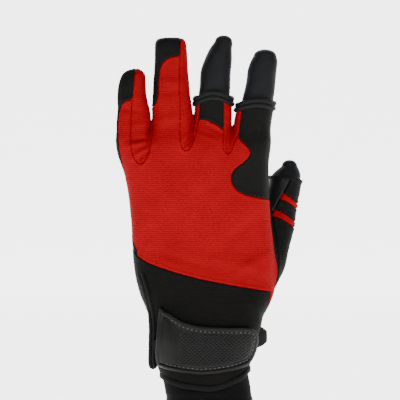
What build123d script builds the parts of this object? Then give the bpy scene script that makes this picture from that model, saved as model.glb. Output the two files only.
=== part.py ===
"""A left-hand sailing glove worn over its thin liner glove, in millimetres.

The fingers point up (+Z), the back of the hand faces -Y, the palm faces +Y and the thumb is on +X.
The origin is the centre of the wrist opening. Soft panels are plain shells of their true size and place.
"""

import os
from functools import cache

from build123d import *

# Walls and gaps
SHELL = 1.2  # stretch fabric or synthetic leather
AIR = 0.4  # between the glove and its liner
LINER = 0.9
CLEAR = 0.3  # between pieces that move apart
LINER_OUT = SHELL + AIR
LINER_IN = LINER_OUT + LINER
FAR = 200.0  # beyond the glove on every side

# Heights of the main lines
HEM_LOW, CUFF_END = 10.0, 13.0
PALM_END = 186.0  # where the palm becomes four finger stalls
CUFF_SEAM_LEFT = (-51.0, 102.0)  # x, z of the seam between the red back and the cuff
CUFF_SEAM_RIGHT = (44.0, 79.5)
CUFF_SEAM_PALM = 66.0
MIDDLE_SHELL_END = 212.0
INDEX_SHELL_END = 208.0
THUMB_SHELL_END = 160.0
RING_CAP_LOW = 244.3
SIDE = 3.0  # how far a side strip reaches round onto the back and palm of its finger
HEM_HEIGHT, HEM_LAP, HEM_PROUD = 4.6, 3.0, 1.6

# A section is z, centre x, centre y, half width, half depth, corner radius
HAND = (
    (9.0, -1.3, 0.0, 31.0, 23.0, 18.0),
    (26.0, -4.3, 0.0, 33.0, 23.5, 18.0),
    (45.0, -4.0, 0.0, 37.0, 22.5, 17.0),
    (62.0, -2.7, 0.5, 39.7, 20.5, 16.0),
    (78.0, -3.0, 0.8, 44.5, 18.5, 15.0),
    (100.0, -4.2, 0.8, 48.8, 17.2, 14.5),
    (130.0, -6.4, 0.4, 48.6, 16.4, 14.0),
    (158.0, -9.0, 0.0, 49.6, 15.4, 13.0),
    (PALM_END, -11.6, 0.0, 53.4, 13.8, 11.5),
)
PINKY = (
    (PALM_END, -53.7, 0.0, 11.1, 12.2, 8.0),
    (198.0, -54.2, 0.3, 11.4, 11.0, 8.0),
    (213.0, -55.2, 0.8, 10.0, 9.8, 7.5),
    (225.0, -55.0, 1.4, 9.2, 8.8, 7.0),
    (231.5, -54.2, 1.8, 7.8, 7.2, 6.0),
    (235.0, -53.4, 2.0, 5.0, 4.6, 4.0),
)
RING = (
    (PALM_END, -28.1, 0.0, 13.9, 12.8, 9.0),
    (198.0, -26.9, 0.3, 13.6, 11.8, 9.0),
    (213.0, -27.3, 0.8, 12.4, 10.8, 8.5),
    (237.0, -27.0, 2.0, 10.9, 9.6, 7.5),
    (252.0, -27.8, 3.0, 10.4, 8.6, 7.0),
    (257.3, -28.1, 3.4, 8.4, 6.4, 5.5),
)
MIDDLE = (
    (PALM_END, 0.5, 0.0, 14.0, 12.8, 9.0),
    (198.0, 2.0, 0.3, 13.3, 11.9, 9.0),
    (220.0, 2.5, 1.0, 12.5, 11.0, 8.5),
)
INDEX = (
    (PALM_END, 28.4, 0.0, 13.2, 12.4, 8.5),
    (198.0, 29.6, 0.3, 13.0, 11.6, 8.5),
    (216.0, 33.4, 0.9, 12.6, 11.0, 8.5),
)
THUMB = (
    (74.0, 26.0, 5.0, 11.0, 12.0, 9.0),
    (90.0, 36.6, 9.0, 13.2, 13.4, 10.0),
    (108.0, 42.8, 15.0, 12.8, 13.4, 10.0),
    (124.0, 46.9, 20.5, 12.4, 12.6, 10.0),
    (141.0, 50.0, 24.0, 12.0, 12.0, 10.0),
    (155.0, 52.8, 26.4, 12.0, 11.6, 10.0),
    (164.0, 54.4, 27.8, 11.6, 11.2, 9.5),
)
# Liner stalls that show above the cut fingers, and the liner's sleeve below the cuff
MIDDLE_LINER = (
    (PALM_END, 0.5, 0.0, 12.0, 10.8, 8.0),
    (205.0, 2.2, 0.6, 10.9, 9.6, 8.0),
    (222.0, 2.8, 1.2, 10.5, 9.2, 8.0),
    (236.0, 3.9, 2.2, 10.1, 8.8, 7.8),
    (247.0, 6.4, 3.2, 8.5, 7.8, 6.5),
    (255.0, 8.2, 3.9, 6.2, 6.0, 5.0),
    (259.3, 8.8, 4.2, 3.4, 3.4, 2.8),
)
INDEX_LINER = (
    (PALM_END, 28.4, 0.0, 11.2, 10.4, 7.5),
    (203.0, 30.6, 0.5, 10.8, 9.4, 7.8),
    (216.0, 33.4, 1.0, 10.6, 9.0, 8.0),
    (230.0, 36.0, 1.8, 10.2, 8.8, 7.8),
    (241.0, 37.8, 2.6, 8.6, 7.6, 6.5),
    (246.5, 38.9, 3.0, 6.4, 6.0, 5.0),
    (249.6, 39.4, 3.2, 3.6, 3.6, 3.0),
)
THUMB_LINER = (
    (138.5, 49.5, 23.5, 10.2, 10.2, 8.4),
    (150.0, 51.9, 25.5, 10.2, 9.9, 8.4),
    (160.0, 54.0, 27.2, 9.0, 8.8, 7.5),
    (167.0, 55.6, 28.2, 6.4, 6.4, 5.5),
    (171.5, 56.2, 28.8, 3.0, 3.0, 2.4),
)
SLEEVE = ((0.0, 0.0, 0.0, 31.8, 24.0, 18.0), (HEM_LOW, -1.3, 0.0, 29.2, 21.3, 16.2))

# Bends: z of the bend's middle, and half the length of cloth that folds there
PINKY_BEND = (211.0, 7.0)
RING_BEND = (223.0, 7.5)
MIDDLE_BEND = (227.0, 7.0)
INDEX_BEND = (222.0, 7.0)
THUMB_BEND = (132.0, 6.5)

# Wrist strap, over hook-and-loop on the back of the cuff
STRAP_LEFT = -34.5
STRAP_OUTLINE = (
    (STRAP_LEFT, 28.0),
    (-23.0, 24.5),
    (-5.0, 22.0),
    (14.0, 24.0),
    (27.0, 28.5),
    (32.9, 36.0),
    (32.9, 49.0),
    (28.0, 55.3),
    (-5.0, 55.8),
    (-19.0, 59.0),
    (STRAP_LEFT, 67.5),
)
LOOP_THICK, HOOK_LOW, HOOK_HIGH = 0.7, 1.0, 1.8
STRAP_THICK, RIM, RIM_PROUD = 2.0, 1.4, 0.4
PATCH_INSET, PATCH_THICK = 5.0, 0.6
BINDING_WIDTH = 4.0


@cache
def stack(sections, inset=0.0, lower_top=0.0):
    """A solid through rounded-rectangle sections, every side moved inwards by inset."""
    rings = []
    for section in sections:
        z, x, y, half_w, half_d, corner = section
        if section == sections[-1]:
            z -= lower_top
        width, depth = 2 * (half_w - inset), 2 * (half_d - inset)
        radius = min(max(corner - inset, 0.8), 0.49 * min(width, depth))
        rings.append(Pos(x, y, z) * RectangleRounded(width, depth, radius))
    return loft(rings, ruled=True)


def box(x, y, z):
    """A box from three (low, high) pairs."""
    size = [high - low for low, high in (x, y, z)]
    centre = [(high + low) / 2 for low, high in (x, y, z)]
    return Pos(*centre) * Box(*size)


def slab(low, high):
    """Everything between two heights."""
    return box((-FAR, FAR), (-FAR, FAR), (low, high))


def prism(outline, y_low, y_high):
    """An outline of (x, z) points pushed through from y_low to y_high."""
    face = make_face(Polyline([(x, y_low, z) for x, z in outline], close=True))
    return extrude(face, amount=y_high - y_low, dir=(0, 1, 0))


def largest(shape):
    return max(shape.solids(), key=lambda s: s.volume)


def group(*shapes):
    """Separate solids in one node: the largest of each shape given."""
    return Compound(children=[largest(s) for s in shapes])


def strips(tube, sections):
    """A finger tube's back, palm, left and right strips."""
    z0, x0, y0, w0 = sections[0][:4]
    z1, x1, _, w1 = sections[-2][:4]
    low, high = z0 - SIDE, FAR + z1
    x_left, x_right = x1 - w1 + SIDE, x1 + w1 - SIDE
    left = [(x0 - w0 + SIDE, low), (x_left, z1), (x_left, high), (-FAR, high), (-FAR, low)]
    right = [(x0 + w0 - SIDE, low), (x_right, z1), (x_right, high), (FAR, high), (FAR, low)]
    left_side, right_side = tube & prism(left, -FAR, FAR), tube & prism(right, -FAR, FAR)
    middle = tube - left_side - right_side
    back_half = box((-FAR, FAR), (-FAR, y0 + 1), (0, high))
    return {"back": middle & back_half, "palm": middle - back_half, "left": left_side, "right": right_side}


def save(name, shape):
    solids = [s for s in shape.solids() if s.volume > 0.5]
    export_step(Compound(children=solids) if len(solids) > 1 else solids[0], f"parts/{name}.step")


os.makedirs("parts", exist_ok=True)

# ---- The hand's shell, cut into panels
hand_form, thumb_form = stack(HAND), stack(THUMB)
thumb_inside = stack(THUMB, SHELL)
hand_shell = ((hand_form - stack(HAND, SHELL)) & slab(CUFF_END, PALM_END)) - thumb_inside
seam_slope = (CUFF_SEAM_RIGHT[1] - CUFF_SEAM_LEFT[1]) / (CUFF_SEAM_RIGHT[0] - CUFF_SEAM_LEFT[0])
seam_ends = [(x, CUFF_SEAM_LEFT[1] + seam_slope * (x - CUFF_SEAM_LEFT[0])) for x in (-FAR, FAR)]
above_seam = prism([*seam_ends, (FAR, 2 * FAR), (-FAR, 2 * FAR)], -FAR, 0)
above_palm_seam = box((-FAR, FAR), (0, FAR), (CUFF_SEAM_PALM, FAR))
index_block = box((17.0, FAR), (-FAR, 0), (146.0, PALM_END + 1))
side_gusset_block = box((30.0, FAR), (4.0, 14.0), (58.0, CUFF_SEAM_PALM))
cuff = hand_shell - above_seam - above_palm_seam
back_half = box((-FAR, FAR), (-FAR, 0), (0, FAR))
save("back_panel", (hand_shell & above_seam) - index_block)
save("index_knuckle_panel", hand_shell & above_seam & index_block)
palm_panel = hand_shell & above_palm_seam
save("palm_panel", palm_panel)
save("cuff_back", cuff & back_half)
save("cuff_palm", cuff - back_half - side_gusset_block)
save("cuff_side_gusset", (cuff & side_gusset_block) - back_half)
save("cuff_hem", (stack(HAND, -1.2) - stack(HAND, 1.0)) & slab(HEM_LOW, CUFF_END))

# ---- Grip patches on the palm: one under the fingers, one on the heel of the hand
patch_skin = (stack(HAND, -0.9) - stack(HAND, -0.1)) - stack(THUMB, -CLEAR)
upper_patch = prism([(-50, 142), (30, 146), (30, 176), (-54, 176)], 0, FAR)
heel_patch = prism([(-44, 84), (-8, 80), (-8, 130), (-46, 136)], 0, FAR)
save("palm_grip_patches", group(patch_skin & upper_patch, patch_skin & heel_patch))

# ---- Finger bases, which belong to the hand
TOPS = {
    "pinky": (PINKY, PINKY_BEND[0] - PINKY_BEND[1], SHELL),
    "ring": (RING, RING_BEND[0] - RING_BEND[1], SHELL),
    "middle": (MIDDLE, MIDDLE_SHELL_END, 0.0),
    "index": (INDEX, INDEX_SHELL_END, 0.0),
}
tube = {name: stack(s) - stack(s, SHELL, closed) for name, (s, _, closed) in TOPS.items()}
base = {name: strips(tube[name] & slab(PALM_END, top), s) for name, (s, top, _) in TOPS.items()}
for name in ("pinky", "ring"):
    save(f"{name}_base_back", base[name]["back"])
save("middle_back_patch", base["middle"]["back"])
save("index_base_back", base["index"]["back"] + base["index"]["right"])
save("pinky_outer_wall", base["pinky"]["left"])
for left, right in (("pinky", "ring"), ("ring", "middle"), ("middle", "index")):
    save(f"fourchette_{left}_{right}", group(base[left]["right"], base[right]["left"]))
save("finger_base_palms", group(*[base[name]["palm"] for name in TOPS]))

# ---- Pinky and ring stalls: the cloth that folds, then what lies beyond it
for name, sections, (z, half) in (("pinky", PINKY, PINKY_BEND), ("ring", RING, RING_BEND)):
    liner = stack(sections, LINER_OUT, LINER_OUT) - stack(sections, LINER_IN, LINER_IN)
    fold, beyond = slab(z - half, z + half - CLEAR), slab(z + half, 2 * FAR)
    save(f"{name}_bend", group(tube[name] & fold, liner & fold))
    save(f"liner_{name}_base", liner & slab(PALM_END, z - half))
    save(f"liner_{name}_tip", liner & beyond)
    cut = strips(tube[name] & beyond, sections)
    if name == "pinky":
        save("pinky_tip_cap", cut["back"] + cut["left"])
    else:
        cap = slab(RING_CAP_LOW, 2 * FAR)
        save("ring_back", cut["back"] - cap)
        save("ring_tip_cap", cut["back"] & cap)
        save("ring_tip_outer_side", cut["left"])
    save(f"{name}_tip_inner_side", cut["right"])
    save(f"{name}_tip_palm", cut["palm"])

# ---- Cut fingers: rolled hems, and the liner's stalls beyond them
for name, sections, end in (("middle", MIDDLE, MIDDLE_SHELL_END), ("index", INDEX, INDEX_SHELL_END)):
    proud = stack(sections, -HEM_PROUD)
    roll = (proud - stack(sections, SHELL)) & slab(end, end + HEM_HEIGHT)
    lap = (proud - stack(sections)) & slab(end - HEM_LAP, end)
    save(f"{name}_hem", roll + lap)
exposed = (("middle", MIDDLE_LINER, MIDDLE_BEND), ("index", INDEX_LINER, INDEX_BEND))
for name, sections, (z, half) in exposed:
    stall = stack(sections) - stack(sections, LINER, LINER)
    save(f"liner_{name}_base", stall & slab(PALM_END, z - half))
    save(f"liner_{name}_bend", stall & slab(z - half, z + half - CLEAR))
    save(f"liner_{name}_tip", stall & slab(z + half, 2 * FAR))

# ---- Liner inside the palm, and its sleeve that shows below the cuff
liner_palm = (stack(HAND, LINER_OUT) - stack(HAND, LINER_IN)) & slab(HEM_LOW, PALM_END)
save("liner_palm", liner_palm - stack(THUMB, LINER_IN))
save("liner_sleeve", stack(SLEEVE) - stack(SLEEVE, LINER))

# ---- Thumb: base on the hand, folding cloth, then back, stripes, pad side and hem
z, half = THUMB_BEND
thumb_shell = thumb_form - thumb_inside
liner_stall = stack(THUMB, LINER_OUT) - stack(THUMB, LINER_IN)
fold = slab(z - half, z + half - CLEAR)
save("thumb_base", largest((thumb_shell & slab(74.0, z - half)) - hand_form))
save("liner_thumb_base", largest((liner_stall & slab(74.0, z - half)) - hand_form))
save("thumb_bend", group((thumb_shell & fold) - hand_form, (liner_stall & fold) - hand_form))
beyond = thumb_shell & slab(z + half, THUMB_SHELL_END - HEM_LAP)
pad_side = prism([(-FAR, 0), (46.0, 0), (46.0, 139.0), (54.0, 160.0), (54.0, FAR), (-FAR, FAR)], -FAR, FAR)
save("thumb_pad_panel", beyond & pad_side)
stripes = slab(139.6, 142.8) + slab(146.4, 149.6)
save("thumb_stripes", (beyond - pad_side) & stripes)
save("thumb_back", beyond - pad_side - stripes)
thumb_lip = stack(THUMB, -0.8) - stack(THUMB, SHELL)
save("thumb_hem", thumb_lip & slab(THUMB_SHELL_END - HEM_LAP, THUMB_SHELL_END))
save("liner_thumb_tip", stack(THUMB_LINER) - stack(THUMB_LINER, LINER, LINER))


# ---- Wrist strap
def strap_prism(inset):
    """The strap's outline pushed through the back half, moved inwards by inset."""
    face = make_face(Polyline([(x, 0, z) for x, z in STRAP_OUTLINE], close=True))
    if inset:
        face = offset(face, amount=-inset, kind=Kind.INTERSECTION)
    return extrude(face, amount=60, dir=(0, -1, 0))


def over_cuff(low, high):
    """What lies between two heights above the hand's surface."""
    return stack(HAND, -high) - stack(HAND, -low)


band_top = HOOK_HIGH + STRAP_THICK
band = over_cuff(HOOK_HIGH, band_top)
save("loop_patch", over_cuff(0.0, LOOP_THICK) & strap_prism(3.5))
save("hook_pad", over_cuff(HOOK_LOW, HOOK_HIGH) & strap_prism(4.5))
save("strap_band", band & strap_prism(RIM))
save("strap_rim", (over_cuff(HOOK_HIGH, band_top + RIM_PROUD) & strap_prism(0.0)) - strap_prism(RIM))
save("strap_patch", over_cuff(band_top, band_top + PATCH_THICK) & strap_prism(PATCH_INSET))
bend_block = box((STRAP_LEFT - 3.0, STRAP_LEFT - CLEAR), (-FAR, 0), (32.0, 46.0))
save("strap_bend", band & bend_block)

# ---- Binding of the cuff's slit beside the strap, and the pull loop on the other side
binding_path = FilletPolyline([(-40.5, -14.5, 27), (-41.5, -16.5, 62), (-47.5, -13.5, 88)], radius=30)
binding_start = Plane(binding_path @ 0, x_dir=(1, 0, 0), z_dir=binding_path % 0)
binding = sweep(binding_start * RectangleRounded(BINDING_WIDTH, 8.0, 1.5), path=binding_path)
save("slit_binding", largest(binding - stack(HAND, -0.1)))
loop_plane = Plane((31.5, 2.0, 41.5))
loop_outer = extrude(loop_plane * Ellipse(8.0, 5.5), amount=13.0)
loop_hole = extrude(loop_plane * Ellipse(6.2, 3.7), amount=13.0)
save("pull_loop", largest((loop_outer - loop_hole) - stack(HAND, -0.1)))
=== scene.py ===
import math

import bpy
import numpy as np
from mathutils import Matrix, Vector, kdtree


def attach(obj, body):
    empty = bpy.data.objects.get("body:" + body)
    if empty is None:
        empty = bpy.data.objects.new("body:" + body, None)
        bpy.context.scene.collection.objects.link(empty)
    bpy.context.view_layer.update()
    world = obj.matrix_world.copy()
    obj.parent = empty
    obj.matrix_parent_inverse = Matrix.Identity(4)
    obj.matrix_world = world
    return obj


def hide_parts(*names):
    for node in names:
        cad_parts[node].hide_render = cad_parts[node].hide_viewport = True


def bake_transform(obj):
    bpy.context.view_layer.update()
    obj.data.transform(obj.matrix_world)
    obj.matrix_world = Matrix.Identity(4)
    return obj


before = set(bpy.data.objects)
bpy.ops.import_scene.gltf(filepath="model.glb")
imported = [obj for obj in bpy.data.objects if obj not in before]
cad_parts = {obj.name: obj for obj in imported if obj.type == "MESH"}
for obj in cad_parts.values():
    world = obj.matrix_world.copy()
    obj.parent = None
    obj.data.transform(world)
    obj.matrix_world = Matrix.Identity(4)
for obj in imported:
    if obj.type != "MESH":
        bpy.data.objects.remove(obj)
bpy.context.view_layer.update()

# The glove is in millimetres until a mesh is made.
# A section is its height z, the centre's x and y, the half width, the half depth and the corner radius.
HAND = ((-4, 0, 0, 30, 23, 18), (9, -1.3, 0, 30.5, 23, 18), (26, -4.3, 0, 31.8, 23.5, 18),
    (34, -5, 0, 34.6, 23, 18), (45, -4, 0, 37, 22.5, 17), (62, -2.6, .5, 40.1, 20.5, 16),
    (78, -2.4, .8, 46.6, 18.5, 15), (87, -3.6, .8, 47.9, 17.8, 14.7), (100, -4.2, .8, 49, 17.2, 14.5),
    (130, -6.4, .4, 48.6, 16.4, 14), (158, -9, 0, 49.6, 15.4, 13), (179, -11.2, 0, 52.4, 14.2, 12),
    (189, -12, 0, 53.6, 12, 10))
PINKY = ((160, -48.5, 0, 7, 10, 7), (176, -53, 0, 10.5, 12.4, 9), (186, -53.7, 0, 11.1, 12.2, 9),
    (198, -53.4, .3, 12, 11, 9), (209, -53.9, .7, 10.9, 10, 9), (218, -54.7, 1.1, 10.1, 9.4, 8.8),
    (225, -54.4, 1.4, 9.5, 8.8, 8.2), (231.5, -53.4, 1.8, 8.1, 7.4, 7), (235.6, -52.5, 2, 5.8, 5, 4.8))
RING = ((160, -28.5, 0, 10, 10, 8), (176, -28.3, 0, 13.6, 13, 10), (186, -27.6, 0, 14.2, 12.8, 10),
    (198, -26.1, .3, 14.5, 11.8, 10), (209, -26.5, .5, 13.8, 11.2, 9.8), (218, -26.9, .8, 13.2, 10.7, 9.5),
    (236, -27.1, 2, 11.7, 9.6, 8.6), (250, -27.3, 3, 11, 8.8, 6), (256.9, -27.5, 3.4, 10.6, 7, 5))
MIDDLE = ((160, -1, 0, 10, 10, 8), (176, 0, 0, 13.6, 13, 10), (186, .4, 0, 14.3, 12.8, 10),
    (198, 1.8, .3, 13.6, 11.9, 10), (222, 2.5, 1, 12.4, 11, 9.6))
INDEX = ((160, 24, 0, 8, 10, 8), (176, 27, 0, 12.6, 12.6, 9.6), (186, 28.4, 0, 13.2, 12.4, 9.6),
    (198, 29.6, .3, 13, 11.6, 9.6), (218, 33.8, .9, 12.5, 11, 9.6))
THUMB = ((74, 26, 5, 11, 12, 9), (90, 36.6, 9, 13.2, 13.4, 11), (108, 42.8, 15, 12.8, 13.4, 11),
    (124, 46.9, 20.5, 12.4, 12.6, 11), (141, 50, 24, 12, 12, 11), (155, 52.8, 26.4, 12, 11.6, 11),
    (168, 55, 28.4, 11.4, 11, 10.4))
MIDDLE_LINER = ((196, 1.5, .4, 10.9, 9.8, 8.6), (222, 3.3, 1.2, 10.9, 9.3, 8.6),
    (236, 4.5, 2.2, 10.4, 8.9, 8.4), (242, 5.7, 2.8, 9.5, 8.5, 7.9), (249, 7.5, 3.4, 7.9, 7.4, 6.9),
    (255.4, 9.6, 3.9, 5.6, 5.6, 5), (259, 9.3, 4.2, 2.2, 2.6, 2.1))
INDEX_LINER = ((194, 29.4, .4, 10.8, 9.6, 8.4), (216, 33.9, 1, 10.9, 9.2, 8.4),
    (227, 35.7, 1.6, 10.4, 9, 8.4), (236, 36.9, 2.2, 10, 8.5, 8), (242, 38, 2.7, 8.9, 7.7, 7.2),
    (246.4, 38.7, 3, 6.6, 6.1, 5.6), (249.1, 38.9, 3.2, 3.8, 3.6, 3.4))
THUMB_LINER = ((139, 49.5, 23.5, 10.3, 10.3, 9.4), (150, 51.9, 25.5, 10.4, 10, 9.3),
    (158, 53.4, 26.8, 10.7, 9.6, 8.9), (161, 54, 27.3, 10.3, 9.2, 8.6), (164, 54.9, 27.8, 8.5, 8.2, 7.6),
    (167, 56, 28.2, 5.9, 6.2, 5.5), (170, 56.7, 28.6, 3, 3.4, 2.8), (171.9, 56.8, 28.8, 1.2, 1.6, 1.1))
SLEEVE = ((0, 0, 0, 31.2, 23.6, 18), (4, -.4, 0, 30.4, 22.8, 18), (12, -1.8, 0, 30, 21.7, 17),
    (26, -4.2, 0, 30.6, 21.4, 16.4))


# ---- Shapes
def column(sections, j, z):
    """One property of a section stack at heights z, through smooth curves."""
    table = np.array(sections, float)
    zs, vs = table[:, 0], table[:, j]
    slope = np.gradient(vs, zs)
    i = np.clip(np.searchsorted(zs, z) - 1, 0, len(zs) - 2)
    h = (zs[1:] - zs[:-1])[i]
    t = np.clip((z - zs[i]) / h, 0, 1)
    return ((2 * t**3 - 3 * t**2 + 1) * vs[i] + (t**3 - 2 * t**2 + t) * h * slope[i]
            + (3 * t**2 - 2 * t**3) * vs[i + 1] + (t**3 - t**2) * h * slope[i + 1])


def smin(a, b, k):
    """The smaller of two values, blended where they are within k."""
    h = np.maximum(k - np.abs(a - b), 0) / k
    return np.minimum(a, b) - h * h * k / 4


def step(a, b, x):
    """A smooth rise from 0 at a to 1 at b."""
    t = np.clip((x - a) / (b - a), 0, 1)
    return t * t * (3 - 2 * t)


def tube(p, sections, k=4.0):
    """Signed distance to a section stack."""
    x, y, z = np.moveaxis(p, -1, 0)
    cx, cy, hw, hd, r = (column(sections, j, z) for j in range(1, 6))
    qx, qy = np.abs(x - cx) - hw + r, np.abs(y - cy) - hd + r
    d = np.hypot(np.maximum(qx, 0), np.maximum(qy, 0)) + np.minimum(np.maximum(qx, qy), 0) - r
    d = -smin(-d, sections[-1][0] - z, k)
    return np.maximum(d, sections[0][0] - z)


def glove_field(p):
    """Signed distance to the filled glove."""
    hand = tube(p, HAND, 8)
    fingers = smin(smin(tube(p, PINKY, 5), tube(p, RING, 5), 1.5),
                   smin(tube(p, MIDDLE, 1), tube(p, INDEX, 1), 1.5), 1.5)
    return smin(smin(hand, fingers, 5), tube(p, THUMB, 1), 7)


def normals(field, v, e=0.35):
    """Outward directions of a field at some points."""
    n = np.stack([field(v + d) - field(v - d) for d in np.eye(3) * e], -1)
    return n / np.maximum(np.linalg.norm(n, axis=1, keepdims=True), 1e-9)


def extract(field, low, high, h):
    """The field's zero surface as vertices and triangles."""
    axes = [np.arange(a, b + h, h) for a, b in zip(low, high)]
    f = np.empty([len(a) for a in axes])
    slab = 32
    for k0 in range(0, len(axes[2]), slab):
        grid = np.stack(np.meshgrid(axes[0], axes[1], axes[2][k0:k0 + slab], indexing="ij"), -1)
        f[:, :, k0:k0 + slab] = field(grid)
    ins = f < 0
    corners = [(i, j, k) for i in (0, 1) for j in (0, 1) for k in (0, 1)]
    nx, ny, nz = (n - 1 for n in f.shape)
    total = sum(ins[i:i + nx, j:j + ny, k:k + nz].astype(int) for i, j, k in corners)
    cell = np.argwhere((total > 0) & (total < 8))
    index = -np.ones((nx, ny, nz), int)
    index[tuple(cell.T)] = np.arange(len(cell))
    value = {c: f[tuple((cell + c).T)] for c in corners}
    pos, count = np.zeros((len(cell), 3)), np.zeros(len(cell))
    for a in corners:
        for axis in range(3):
            if a[axis] == 0:
                b = tuple(a[i] + (i == axis) for i in range(3))
                fa, fb = value[a], value[b]
                cross = (fa < 0) != (fb < 0)
                t = np.where(cross, fa / np.where(cross, fa - fb, 1), 0)
                point = np.array(a, float) + t[:, None] * (np.array(b) - a)
                pos += np.where(cross[:, None], point, 0)
                count += cross
    v = (cell + pos / count[:, None]) * h + np.array(low)
    tris = []
    for axis in range(3):
        u, w = (axis + 1) % 3, (axis + 2) % 3
        shift, du, dw = np.eye(3, dtype=int)[[axis, u, w]]
        a = ins[:nx, :ny, :nz]
        b = ins[shift[0]:shift[0] + nx, shift[1]:shift[1] + ny, shift[2]:shift[2] + nz]
        at = np.argwhere(a != b)
        at = at[(at[:, u] > 0) & (at[:, w] > 0)]
        q = np.stack([index[tuple((at - o).T)] for o in (0 * du, du, du + dw, dw)], 1)
        flip = a[tuple(at.T)]
        q[~flip] = q[~flip][:, ::-1]
        tris += [q[:, [0, 1, 2]], q[:, [0, 2, 3]]]
    for _ in range(3):
        v = v - normals(field, v) * field(v)[:, None]
    return v, np.concatenate(tris)


def compact(v, t):
    """A sheet without the vertices that no triangle uses."""
    used = np.unique(t)
    back = np.zeros(len(v), int)
    back[used] = np.arange(len(used))
    return v[used], back[t]


ON_CUT = 0.12  # a vertex this near to a cut counts as lying on it


def split(sheet, field):
    """The sheet's parts where the field is negative and where it is positive, cut along its zero line."""
    v, t = sheet
    f = field(v)
    s = np.where(np.abs(f) < ON_CUT, 0, np.sign(f)).astype(int)
    st = s[t]
    mixed = (st.min(1) < 0) & (st.max(1) > 0)
    low = [t[~mixed & (st.sum(1) < 0)]]
    high = [t[~mixed & (st.sum(1) >= 0)]]
    t, st = t[mixed], st[mixed]
    all_keys, parts = [], []
    for zero_case in (False, True):
        pick = (st == 0).any(1) == zero_case
        tt, ss = t[pick], st[pick]
        lone = np.argmax(ss == 0, 1) if zero_case else np.argmax(ss == -np.sign(ss.sum(1))[:, None], 1)
        order = (lone[:, None] + np.arange(3)) % 3
        a, b, c = np.take_along_axis(tt, order, 1).T
        for p, q in [(b, c)] if zero_case else [(a, b), (a, c)]:
            all_keys.append(np.stack([np.minimum(p, q), np.maximum(p, q)], 1))
        parts.append((a, b, c, s[b] if zero_case else s[a]))
    keys = np.concatenate(all_keys)
    unique, inverse = np.unique(keys, axis=0, return_inverse=True)
    inverse = inverse.reshape(-1)
    p, q = unique.T
    w = (f[p] / (f[p] - f[q]))[:, None]
    made = v[p] * (1 - w) + v[q] * w
    a, b, c, side = parts[0]
    m = len(a)
    ab, ac = inverse[:m] + len(v), inverse[m:2 * m] + len(v)
    for chosen, first in ((side < 0, low), (side > 0, high)):
        other = high if first is low else low
        first.append(np.stack([a, ab, ac], 1)[chosen])
        other += [np.stack([ab, b, c], 1)[chosen], np.stack([ab, c, ac], 1)[chosen]]
    a, b, c, side = parts[1]
    bc = inverse[2 * m:] + len(v)
    for chosen, first in ((side < 0, low), (side > 0, high)):
        other = high if first is low else low
        first.append(np.stack([a, b, bc], 1)[chosen])
        other.append(np.stack([a, bc, c], 1)[chosen])
    v = np.concatenate([v, made])
    return compact(v, np.concatenate(low)), compact(v, np.concatenate(high))


def outline(points, times=1):
    """Signed distance in the XZ plane to an outline with smoothed corners, as a field."""
    a = rounded(points, times)
    b = np.roll(a, -1, 0)

    def field(p):
        x, z = p[..., 0], p[..., 2]
        best = np.full(x.shape, 1e9)
        inside = np.zeros(x.shape, bool)
        for (ax, az), (bx, bz) in zip(a, b):
            dx, dz = bx - ax, bz - az
            t = np.clip(((x - ax) * dx + (z - az) * dz) / (dx * dx + dz * dz), 0, 1)
            best = np.minimum(best, np.hypot(x - ax - t * dx, z - az - t * dz))
            if az != bz:
                inside ^= ((az > z) != (bz > z)) & (x < (bx - ax) * (z - az) / (bz - az) + ax)
        return np.where(inside, -best, best)
    return field


def rounded(points, times=2):
    """An outline's points with its corners cut smooth."""
    p = np.array(points, float)
    for _ in range(times):
        q = np.roll(p, -1, 0)
        p = np.stack([p * 0.75 + q * 0.25, p * 0.25 + q * 0.75], 1).reshape(-1, 2)
    return p


def relax(values, times):
    """A run of numbers or points smoothed in place, its ends held."""
    for _ in range(times):
        values[1:-1] = (values[:-2] + 2 * values[1:-1] + values[2:]) / 4
    return values


def two_sided(front, rear, y0, width=7.0):
    """A field that turns from one outline on the back of the hand to another on the palm, about y0."""
    def field(p):
        w = step(y0 - width / 2, y0 + width / 2, p[..., 1])
        return front(p) * (1 - w) + rear(p) * w
    return field


def relief(p):
    """How far the cloth stands above the smooth form."""
    x, y, z = p[:, 0], p[:, 1], p[:, 2]
    out = 0.22 * np.sin(x / 9.1 + z / 23 + 1.1 * np.sin(y / 8)) * np.sin(z / 12.7 - x / 31)
    out += 0.10 * np.sin(x / 3.9 - z / 9.3 + 2) * np.sin(z / 5.1 + y / 6.3 + x / 17)
    for cx, cy, cz, degrees, length, width, height in FOLDS:
        angle = math.radians(degrees)
        dx, dz = x - cx, z - cz
        along = dx * math.cos(angle) + dz * math.sin(angle)
        across = -dx * math.sin(angle) + dz * math.cos(angle) + 0.02 * along**2 / max(length, 1)
        near = np.exp(-((y - cy) / 14) ** 2)
        out += height * near * np.exp(-(along / length) ** 2) * np.exp(-(across / width) ** 2)
    return out


# ---- Making objects
MATERIALS, SLOTS = {}, {}


def finish_mesh(name, v, faces, material, smooth_angle=48):
    """An object in the scene from vertices in millimetres."""
    mesh = bpy.data.meshes.new(name)
    mesh.from_pydata((np.asarray(v) * 0.001).tolist(), [], [tuple(f) for f in faces])
    mesh.validate()
    mesh.update()
    mesh.shade_smooth()
    mesh.set_sharp_from_angle(angle=math.radians(smooth_angle))
    mesh.materials.append(MATERIALS[material])
    obj = bpy.data.objects.new(name, mesh)
    bpy.context.scene.collection.objects.link(obj)
    return obj


def border(t):
    """Directed edges on a sheet's border."""
    e = np.concatenate([t[:, [0, 1]], t[:, [1, 2]], t[:, [2, 0]]])
    key = np.sort(e, 1)
    _, inverse, count = np.unique(key, axis=0, return_inverse=True, return_counts=True)
    return e[count[inverse.reshape(-1)] == 1]


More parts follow.
